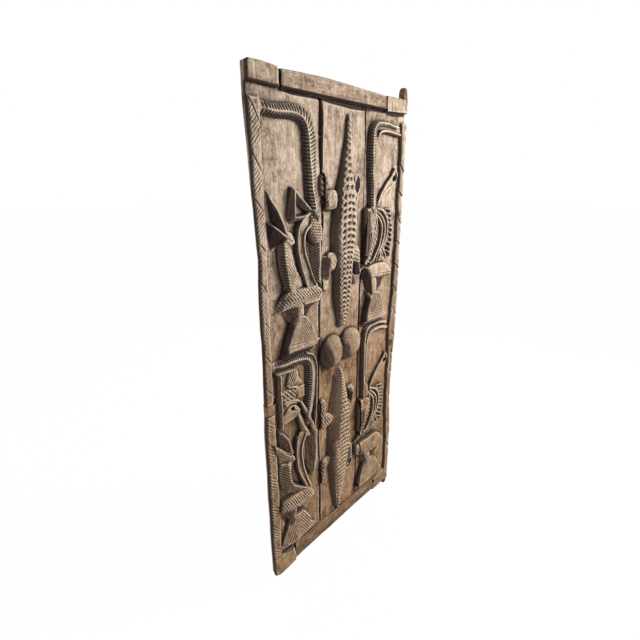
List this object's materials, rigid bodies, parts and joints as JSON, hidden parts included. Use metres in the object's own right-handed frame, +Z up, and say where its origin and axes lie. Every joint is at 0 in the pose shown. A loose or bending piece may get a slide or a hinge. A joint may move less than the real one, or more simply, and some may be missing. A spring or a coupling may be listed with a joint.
{
  "type": "granary door",
  "caption": "Tall door leaf of joined hewn planks, carved in high relief with crocodiles and horned beasts, hung on wooden pivots.",
  "frame": {"origin": "where the lower pivot leaves the foot of the door, on the common axis of both pivots", "axes": "+Z up along the pivots' axis, +X to the right seen from the carved front, so the leaf runs along -X; the carved front looks towards -Y"},
  "size_m": [0.84, 0.0658, 1.982],
  "materials": {
    "weathered_wood": "hand hewn hardwood, carved, dry and weathered grey brown",
    "batten_wood": "split batten, worn smooth and weathered",
    "forged_iron": "hand forged iron, dark and rusted",
    "dowel_wood": "whittled hardwood",
    "patch_wood": "paler repair wood, hand cut"
  },
  "bodies": {
    "root": {"left_plank": "weathered_wood", "centre_plank": "weathered_wood", "right_plank": "weathered_wood", "top_batten": "batten_wood", "bottom_batten": "batten_wood", "top_batten_nails": "forged_iron", "bottom_batten_nails": "forged_iron", "left_seam_dowels": "dowel_wood", "right_seam_dowels": "dowel_wood", "edge_patch": "patch_wood", "edge_patch_peg": "dowel_wood"}
  },
  "joints": []
}
